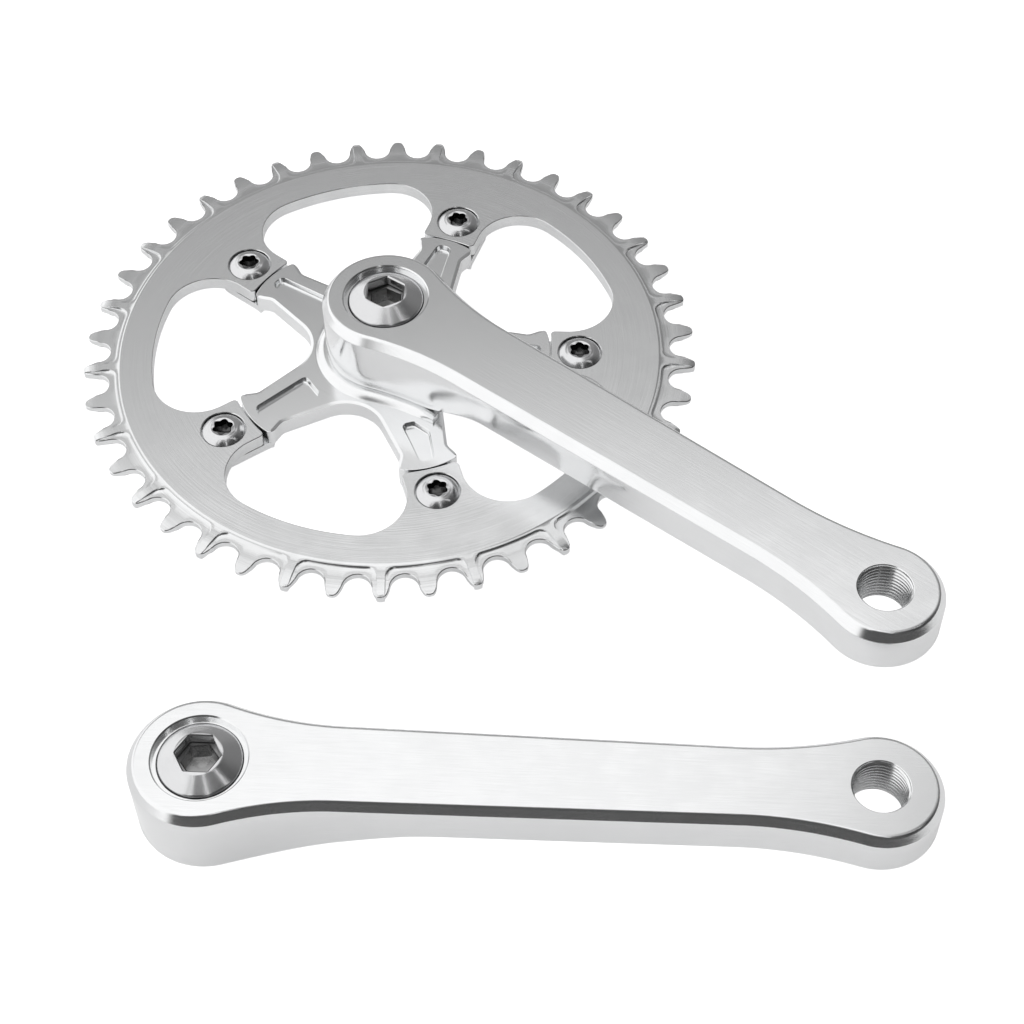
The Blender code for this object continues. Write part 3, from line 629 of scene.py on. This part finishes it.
def ringInnerPath(r):
    # five bolt tabs with heart-shaped windows between them; each half: the tab's end, its rounded
    # corner, its side, the fillet and the window's arc
    fillet, reach, wide = r["windowFillet"], r["windowRadius"] - r["windowFillet"], r["tabHalfWidth"]
    centre = (math.sqrt(reach ** 2 - (wide + fillet) ** 2), wide + fillet)
    tangent = math.degrees(math.atan2(centre[1], centre[0]))
    corner = r["tabCorner"]
    cornerY = wide - corner
    cornerX = math.sqrt((r["tabEnd"] + corner) ** 2 - cornerY ** 2)
    cornerStart = math.degrees(math.atan2(cornerY, cornerX))
    half = np.concatenate([
        arc((0, 0), r["tabEnd"], 0, cornerStart, 9),
        arc((cornerX, cornerY), corner, cornerStart + 180, 90, 7)[1:],
        arc(centre, fillet, -90, tangent, 36),
        arc((0, 0), r["windowRadius"], tangent, 36, 16)[1:]])
    return roundFive(half)[0]


def makeChainring(r):
    face, back, edge, lead = ringFace, ringFace - r["thickness"], r["windowEdge"], 0.2
    rim = [(edge, face), (0, face - edge), (0, back + edge), (edge, back)]
    grids = [toothBand(r), carry(ringInnerPath(r), rim)]
    floor, seat, hole = face - r["seatDepth"], r["seatRadius"], r["holeRadius"]
    for k in range(spiderArms):
        grids.append(revolve([(seat + lead, face), (seat, face - lead), (seat, floor), (hole, floor),
                              (hole, back + lead), (hole + lead, back)], 64, centre=boltPlace(k)))
    makePiece("chainringPlate", "drive", grids, [face, back], satin, "drive_side", ["chainring"])


makeChainring(ringShape)

# Pocket corners are (distance along the arm, distance from its middle), with a radius each. The short
# pocket stands beside the crank arm
spiderShape = {
    "back": 3.9, "endRadius": 46.5, "endCurve": 23.0, "endCorner": 1.3, "shoulder": (44.0, 8.3),
    "waist": (39.5, 6.8), "root": (26.1, 8.9), "hubFillet": 11.5, "webRadius": 23.0,
    "bevel": 0.85, "bevelDrop": 0.42, "boreRadius": 15.3, "padBack": 2.2, "padEnd": 62.0,
    "padHalfWidth": 8.0, "padCorner": 5.0, "padEdge": 0.4, "padGap": 0.3, "holeRadius": 5.2,
    "collarTop": 11.1, "collarReach": 3.0, "collarNarrowing": 0.8, "collarSlope": 2.5,
    "collarLength": 28.3, "pocketDepth": 1.6,
    "pocket": (((25.5, -4.4), 1.5), ((44.0, -2.2), 1.98), ((44.0, 2.2), 1.98), ((25.5, 4.4), 1.5)),
    "shortPocket": (((29.0, -3.9), 1.5), ((44.0, -2.2), 1.98), ((44.0, 2.2), 1.98), ((33.5, 3.3), 2.0),
                    ((29.0, 0.0), 1.5)),
}


def spiderHalf(s, pad):
    # half of an arm's outline, from its end to the middle of the window beside it. The pad's is the
    # same up to its end
    shoulderX, shoulderY = s["shoulder"]
    if pad:
        corner, wide = s["padCorner"], s["padHalfWidth"]
        end = np.concatenate([
            np.array([(s["padEnd"], 0.0)]),
            arc((s["padEnd"] - corner, wide - corner), corner, 0, 90, 12),
            np.array([(shoulderX + 1.2, wide), (shoulderX, shoulderY)])])
    else:
        corner, middle = s["endCorner"], s["endRadius"] - s["endCurve"]
        cornerY, reach = shoulderY - corner, s["endCurve"] - corner
        swing = math.degrees(math.asin(cornerY / reach))
        cornerX = middle + reach * math.cos(math.radians(swing))
        end = np.concatenate([arc((middle, 0), s["endCurve"], 0, swing, 12),
                              arc((cornerX, cornerY), corner, swing, 90, 8)[1:],
                              np.array([(shoulderX, shoulderY)])])
    along = distances(end)
    end = readAt(end, along, np.linspace(0, along[-1], 26))
    waistX, waistY = s["waist"]
    t = np.linspace(0, 1, 8)[1:]
    flare = np.column_stack([shoulderX + (waistX - shoulderX) * t,
                             shoulderY + (waistY - shoulderY) * smooth(0, 1, t)])
    distance, middle = s["webRadius"] + s["hubFillet"], math.radians(36)
    centre = (distance * math.cos(middle), distance * math.sin(middle))
    slope = math.degrees(math.atan2(s["root"][1] - waistY, s["root"][0] - waistX))
    fillet = arc(centre, s["hubFillet"], slope + 90, 36 + 180, 22)
    side = np.array(s["waist"]) + (fillet[0] - s["waist"]) * np.array([[0.25], [0.5], [0.75]])
    return np.concatenate([end, flare, side, fillet])


def armPocket(s, k):
    # tapered pocket in a spider arm; beside the crank arm its inner corner is cut back
    corners, radii = zip(*s["shortPocket" if k in (0, spiderArms - 1) else "pocket"])
    if k == 0:
        corners, radii = [(x, -y) for x, y in corners[::-1]], radii[::-1]
    return turned(roundedLoop(corners, radii, 8), armTurn(k))


def collarPath(s):
    # round the crank arm's foot: the arm's outline grown, closed by an arc and two lines beside the
    # window under the arm. Returns the loop and the share of the slope's width that each point gets
    end, least = s["collarLength"], 0.12
    flank = armHalfOutline(armShape, (end,), s["collarReach"])
    flank = flank[flank[:, 0] < end + 0.01]
    narrowing = smooth(0, 18, flank[:, 0])
    flank[:, 1] -= s["collarNarrowing"] * narrowing
    window = arc((s["webRadius"] + s["hubFillet"], 0), s["hubFillet"] + 1.6, 180, 136, 16)
    ahead = np.array([0.72, 0.69]) * (end - window[-1, 0]) / 0.72
    side = window[-1] + ahead * np.linspace(0.2, 0.9, 4)[:, None]
    corner = np.array([(end, side[-1, 1] + 1.0), (end, flank[0, 1] - 0.7)])
    loop = np.concatenate([window, side, corner, flank])
    growing = least + (1 - least) * smooth(0, 5, np.arange(len(flank)))
    share = np.concatenate([np.full(len(loop) - len(flank), least), growing * (1 - 0.3 * narrowing)])
    return np.concatenate([loop, mirrored(loop)[1:-1]]), np.concatenate([share, share[::-1][1:-1]])


def alongArms(path):
    # the greatest distance of each point along any of the arms
    angles = np.radians([armTurn(k) for k in range(spiderArms)])
    return (path @ np.array([np.cos(angles), np.sin(angles)])).max(1)


def makeSpider(s):
    face, back, padBack, edge, lead = ringFace, s["back"], s["padBack"], s["padEdge"], 0.2
    padTop = ringFace - ringShape["thickness"] - s["padGap"]
    upper, perArm = roundFive(spiderHalf(s, False))
    lower, perArm = roundFive(spiderHalf(s, True))
    # the bright chamfer runs along the arms' sides and fades out across their ends
    share = 1 - 0.85 * smooth(43.6, 44.6, alongArms(upper))
    wall = carry(upper, [(-s["bevel"], face), (0, face), (0, padTop)], share)
    wall[1, :, 2] -= s["bevelDrop"] * s["bevel"] * share
    # past the shoulder each arm hangs lower, as the pad
    bottom = np.where(alongArms(lower) > s["shoulder"][0] - 0.5, padBack, back)
    rows = [np.column_stack([lower, np.full(len(lower), padTop)]),
            np.column_stack([lower, bottom + edge]),
            np.column_stack([lower - outward(lower) * edge, bottom])]
    grids = [wall, np.stack(rows)]
    # across each arm, the step between the pad's back and the arm's back
    for k in range(spiderArms):
        block = np.arange(k * perArm, (k + 1) * perArm)
        pad = block[bottom[block] < back - 0.01]
        first, last = pad.min(), pad.max()
        grids.append((rows[-1][np.array([[first - 1, first], [(last + 1) % len(lower), last]])],))
    # a groove at the collar's foot, then its slope up to the arm
    t = np.linspace(0, 1, 9)
    rise = (s["collarTop"] - face) * np.sin(t * math.pi / 2) ** 0.9
    slope = np.column_stack([-s["collarSlope"] * t, face + rise])
    groove = [(0.5, face), (0.38, face - 0.15), (0.22, face - 0.15)]
    loop, share = collarPath(s)
    grids.append(carry(loop, np.vstack([groove, slope]), share))
    grids[-1][-1, :, 2] = s["collarTop"]
    bore = s["boreRadius"]
    grids.append(revolve([(bore + lead, s["collarTop"]), (bore, s["collarTop"] - lead),
                          (bore, back + 0.3), (bore + 0.3, back)], 96))
    floor, hole = face - s["pocketDepth"], s["holeRadius"]
    pocket = [(0.0, face), (-0.12, face - 0.15), (-0.3, floor + 0.35), (-0.42, floor + 0.1), (-0.7, floor)]
    for k in range(spiderArms):
        grids.append(carry(armPocket(s, k), pocket))
        grids.append(revolve([(hole + lead, padTop), (hole, padTop - lead), (hole, padBack + lead),
                              (hole + lead, padBack)], 64, centre=boltPlace(k)))
    makePiece("spiderPlate", "drive", grids, [face, s["collarTop"], floor, padTop, back, padBack],
              polish, "drive_side", ["spider"], sharp=17)


makeSpider(spiderShape)

# Bolt heights are from the chainring's face, nut heights from the ground
boltShape = {
    "headRadius": 6.0, "lipRadius": 3.4, "lipHeight": 1.2, "headBack": 1.8, "shankRadius": 4.0,
    "shankEnd": 2.2, "lobeOuter": 2.9, "lobeInner": 2.3, "socketDepth": 2.4, "firstTurn": 10,
    "turnStep": 17, "nutHead": 6.3, "nutSleeve": 4.9, "nutBore": 4.3, "nutBack": 0.3, "nutHeadTop": 1.9,
}


def makeBolts(b):
    # the head is a crowned cone with a six-lobe socket: the lobes' radius follows the cosine of six times
    # the angle
    count, edge = 96, 0.2
    angles = np.arange(count) * 2 * math.pi / count
    wave = (0.5 + 0.5 * np.cos(6 * angles)) ** 0.8
    lobe = b["lobeInner"] + (b["lobeOuter"] - b["lobeInner"]) * wave
    lip, under = ringFace + b["lipHeight"], ringFace - b["headBack"]
    outer, inner = b["headRadius"], b["lipRadius"]
    socketEnd = lip - b["socketDepth"]
    cone = [(outer - (outer - inner - 0.25) * t,
             ringFace - 0.35 + (b["lipHeight"] + 0.2) * (1 - (1 - t) ** 1.7)) for t in np.linspace(0, 1, 8)]
    head = [(b["shankRadius"], b["shankEnd"]), (b["shankRadius"], under), (outer - edge, under),
            (outer, under + edge)] + cone + [
            (inner, lip), (inner - 0.15, lip), (lobe + 0.1, lip - 0.12), (lobe, lip - 0.3),
            (lobe, socketEnd), (lobe * 0.5, socketEnd - 0.25)]
    sleeve, bore, wide, top, back = b["nutSleeve"], b["nutBore"], b["nutHead"], b["nutHeadTop"], b["nutBack"]
    nut = [(bore + edge, under - 0.5), (sleeve - edge, under - 0.5), (sleeve, under - 0.7), (sleeve, top),
           (wide - edge, top), (wide, top - edge), (wide, back + 0.5), (wide - 0.5, back),
           (bore + 0.3, back), (bore, back + 0.3), (bore, under - 0.7), (bore + edge, under - 0.5)]

    def paintedSocketShade(own):
        # painted shade: the socket is darkened to black inside
        return 1.0 * ((np.hypot(own[:, 0], own[:, 1]) < b["lobeOuter"] + 0.02) & (own[:, 2] < lip - 0.25))

    for k in range(spiderArms):
        number, centre = k + 1, boltPlace(k)
        grid = revolve(head, count, b["firstTurn"] + b["turnStep"] * k, centre)
        makePiece(f"ringBolt{number}", "drive", [grid], [b["shankEnd"], socketEnd - 0.25], chrome,
                  "drive_side", [f"chainring_bolt_{number}"], centre, paintedSocketShade)
        makePiece(f"ringNut{number}", "drive", [revolve(nut, 64, 0, centre)], [], chrome,
                  "drive_side", [f"chainring_nut_{number}"], centre)


makeBolts(boltShape)

# Cap, fixing bolt and washer: heights are from the arm's face, turns are of the cap and of the bolt.
# The darkening in the cap's hollow and in the bolt's socket is painted shade
capShape = {
    "radius": 10.6, "rim": -0.8, "lip": 2.0, "lipRadius": 6.1, "floor": -1.0, "bottom": -8.5,
    "cavity": 8.6, "hex": 10.0, "paintedShade": 0.5, "turns": {"drive": (4.0, 8.0), "left": (0.0, 8.0)},
    "boltTop": -1.3, "boltEnd": -21.7, "boltHex": 8.0, "boltSocket": 5.0, "flange": 8.2,
    "boltBody": 6.5, "shank": 3.9, "threadPitch": 1.0, "threadDepth": 0.5, "paintedBoltShade": 0.55,
    "washerInner": 4.4, "washerOuter": 9.6, "washerTop": -10.0, "washerBack": -10.7,
}


def makeCap(side, c, face, turn):
    count, outer, rim, lip, floor = 96, c["radius"], c["rim"], c["lip"], c["floor"]
    hexHole = polygonRadius(c["hex"], 6, count)
    profile = [(hexHole + 0.35, lip), (hexHole, lip - 0.35), (hexHole, floor), (c["cavity"], floor),
               (c["cavity"], c["bottom"]), (outer - 0.4, c["bottom"]), (outer, c["bottom"] + 0.4),
               (outer, rim - 0.3), (outer - 0.25, rim), (outer - 0.5, rim + 0.12),
               (c["lipRadius"] + 0.2, lip - 0.12), (c["lipRadius"] - 0.1, lip), (hexHole + 0.35, lip)]

    def paintedCapShade(own):
        # painted shade on the cap's inside, from the hex hole's floor down
        return c["paintedShade"] * (own[:, 2] < face + floor + 0.01)

    makePiece(f"{side}Cap", side, [revolve(raised(profile, face), count, turn)], [], chrome,
              sides[side]["body"], [f"{side}_extractor_cap"], paintedShade=paintedCapShade)


def makeFixingBolt(side, c, face, turn):
    count, top, end = 96, c["boltTop"], c["boltEnd"]
    flange, body, shank = c["flange"], c["boltBody"], c["shank"]
    hole = polygonRadius(c["boltHex"], 6, count)
    socketEnd, bodyLow = top - c["boltSocket"], c["washerTop"] + 0.3
    threadTop, threadEnd = bodyLow - 0.5, end + 0.8
    profile = [(hole * 0.3, socketEnd - 0.4), (hole, socketEnd), (hole, top - 0.3), (hole + 0.3, top),
               (flange - 0.6, top), (flange, top - 0.6), (flange, top - 1.8), (flange - 0.2, top - 2),
               (body, top - 2), (body, bodyLow + 0.2), (body - 0.2, bodyLow), (shank, bodyLow),
               (shank, threadTop)]
    thread = helixGrid(shank, c["threadDepth"], threadTop + face, threadEnd + face, c["threadPitch"], 1,
                       count, turn)
    tip = [(shank, threadEnd), (shank - 0.7, end)]

    def paintedSocketShade(own):
        # painted shade in the hex socket
        inSocket = np.hypot(own[:, 0], own[:, 1]) < 5
        return c["paintedBoltShade"] * (inSocket & (abs(own[:, 2] - face - top + 2) < 2.2))

    grids = [revolve(raised(profile, face), count, turn), (thread,), revolve(raised(tip, face), count, turn)]
    makePiece(f"{side}FixingBolt", side, grids, [socketEnd - 0.4 + face, end + face], steel,
              sides[side]["boltBody"], [f"{side}_fixing_bolt"], paintedShade=paintedSocketShade)


def makeWasher(side, c, face):
    inner, outer, high, low = c["washerInner"], c["washerOuter"], c["washerTop"], c["washerBack"]
    profile = [(inner, high - 0.1), (inner + 0.1, high), (outer - 0.15, high), (outer, high - 0.15),
               (outer, low + 0.15), (outer - 0.15, low), (inner + 0.1, low), (inner, low + 0.1),
               (inner, high - 0.1)]
    makePiece(f"{side}Washer", side, [revolve(raised(profile, face), 96)], [], steel,
              sides[side]["body"], [f"{side}_bolt_washer"])


for side, place in sides.items():
    capTurn, boltTurn = capShape["turns"][side]
    makeCap(side, capShape, place["face"], capTurn)
    makeFixingBolt(side, capShape, place["face"], boltTurn)
    makeWasher(side, capShape, place["face"])
print("pieces made")

# The camera's place is in metres and its turn in degrees. Far, right and the two fronts are the
# brightness of the grey screens round the object, and the strips are lamps in front of it, by bearing
studio = {
    "cameraPlace": (0.03079, -0.37713, 0.46827), "cameraTurn": (37.965, 0.485, 3.105), "lens": 75.21,
    "floor": (0.80, 0.80, 0.80), "floorReach": 40.0, "floorGlow": 0.3, "floorLift": 0.55,
    "sky": 1.08, "far": 0.32, "right": 0.24, "frontHigh": 0.34, "frontLow": 0.085, "frontRight": 0.7,
    "strip": 1.7, "strips": (-28.0, 19.0, 77.0), "stripWidth": 3.5,
}


def makeCamera(v):
    camera = bpy.data.objects.new("camera", bpy.data.cameras.new("camera"))
    bpy.context.scene.collection.objects.link(camera)
    camera.location = v["cameraPlace"]
    camera.rotation_euler = Euler([math.radians(a) for a in v["cameraTurn"]])
    camera.data.lens = v["lens"]
    camera.data.sensor_width = 36
    bpy.context.scene.camera = camera


def makeFloor(v):
    # a matt floor that glows a little, and more where it is seen directly
    mesh = bpy.data.meshes.new("floor")
    reach = v["floorReach"]
    corners = [(-reach, -reach, 0), (reach, -reach, 0), (reach, reach, 0), (-reach, reach, 0)]
    mesh.from_pydata(corners, [], [(0, 1, 2, 3)])
    floor = bpy.data.objects.new("floor", mesh)
    bpy.context.scene.collection.objects.link(floor)
    floor.location.z = cadBox[0].z - 0.0001
    paint = bpy.data.materials.new("floorPaint")
    paint.use_nodes = True
    tree = paint.node_tree
    shader = tree.nodes["Principled BSDF"]
    shader.inputs["Base Color"].default_value = (*v["floor"], 1)
    shader.inputs["Roughness"].default_value = 0.9
    shader.inputs["Emission Color"].default_value = (1, 1, 1, 1)
    seen = addNode(tree, "ShaderNodeLightPath").outputs["Is Camera Ray"]
    lift = addNode(tree, "ShaderNodeMath", "MULTIPLY", i0=seen, i1=v["floorLift"])
    glow = addNode(tree, "ShaderNodeMath", "ADD", i0=lift.outputs[0], i1=v["floorGlow"])
    tree.links.new(glow.outputs[0], shader.inputs["Emission Strength"])
    mesh.materials.append(paint)


def makeLight(v):
    # a world whose brightness depends on the direction only
    world = bpy.data.worlds.new("studio")
    bpy.context.scene.world = world
    world.use_nodes = True
    tree = world.node_tree
    direction = addNode(tree, "ShaderNodeTexCoord").outputs["Generated"]
    across, away, up = addNode(tree, "ShaderNodeSeparateXYZ", i0=direction).outputs

    def compute(operation, a, b=0.0):
        return addNode(tree, "ShaderNodeMath", operation, i0=a, i1=b).outputs[0]

    def ramp(value, low, high):
        # smooth step of one part of the direction
        node = addNode(tree, "ShaderNodeMapRange", i0=value, i1=low, i2=high)
        node.interpolation_type = "SMOOTHSTEP"
        return node.outputs[0]

    def blend(share, a, b):
        return addNode(tree, "ShaderNodeMix", i0=share, i2=a, i3=b).outputs[0]

    # bearing: 0 in front of the object, growing to the right, in degrees
    toFront = compute("MULTIPLY", away, -1.0)
    bearing = compute("MULTIPLY", compute("ARCTAN2", across, toFront), 180 / math.pi)
    # the far side is grey up to the softbox's edge, and grey again at the right
    farShare = compute("MULTIPLY", ramp(up, 0.80, 0.735), ramp(away, 0.0, 0.3))
    farShare = compute("MULTIPLY", farShare, ramp(across, -0.55, -0.35))
    level = blend(farShare, v["sky"], v["far"])
    rightShare = compute("MULTIPLY", ramp(across, 0.07, 0.20), ramp(up, 0.80, 0.845))
    level = blend(rightShare, level, v["far"])
    level = blend(ramp(across, 0.25, 0.5), level, v["right"])
    # in front: dark below, grey above, with bright strips standing in the upper part
    frontShare = compute("MULTIPLY", ramp(bearing, -42.0, -30.0), ramp(bearing, 135.0, 80.0))
    front = blend(ramp(up, 0.78, 0.93), v["frontLow"], v["frontHigh"])
    front = blend(ramp(bearing, 25.0, 60.0), front, compute("MULTIPLY", front, v["frontRight"]))
    high, width = ramp(up, 0.60, 0.78), v["stripWidth"]
    for strip in v["strips"]:
        fromStrip = compute("ABSOLUTE", compute("SUBTRACT", bearing, strip))
        share = compute("MULTIPLY", high, ramp(fromStrip, width, width * 0.5))
        front = blend(share, front, v["strip"])
    front = blend(ramp(up, 0.95, 0.995), front, v["sky"])
    level = blend(frontShare, level, front)
    background = tree.nodes["Background"]
    tree.links.new(level, background.inputs["Strength"])
    background.inputs["Color"].default_value = (1, 1, 1, 1)
    bpy.context.scene.view_settings.view_transform = "Standard"


makeCamera(studio)
makeFloor(studio)
makeLight(studio)
print("studio made")
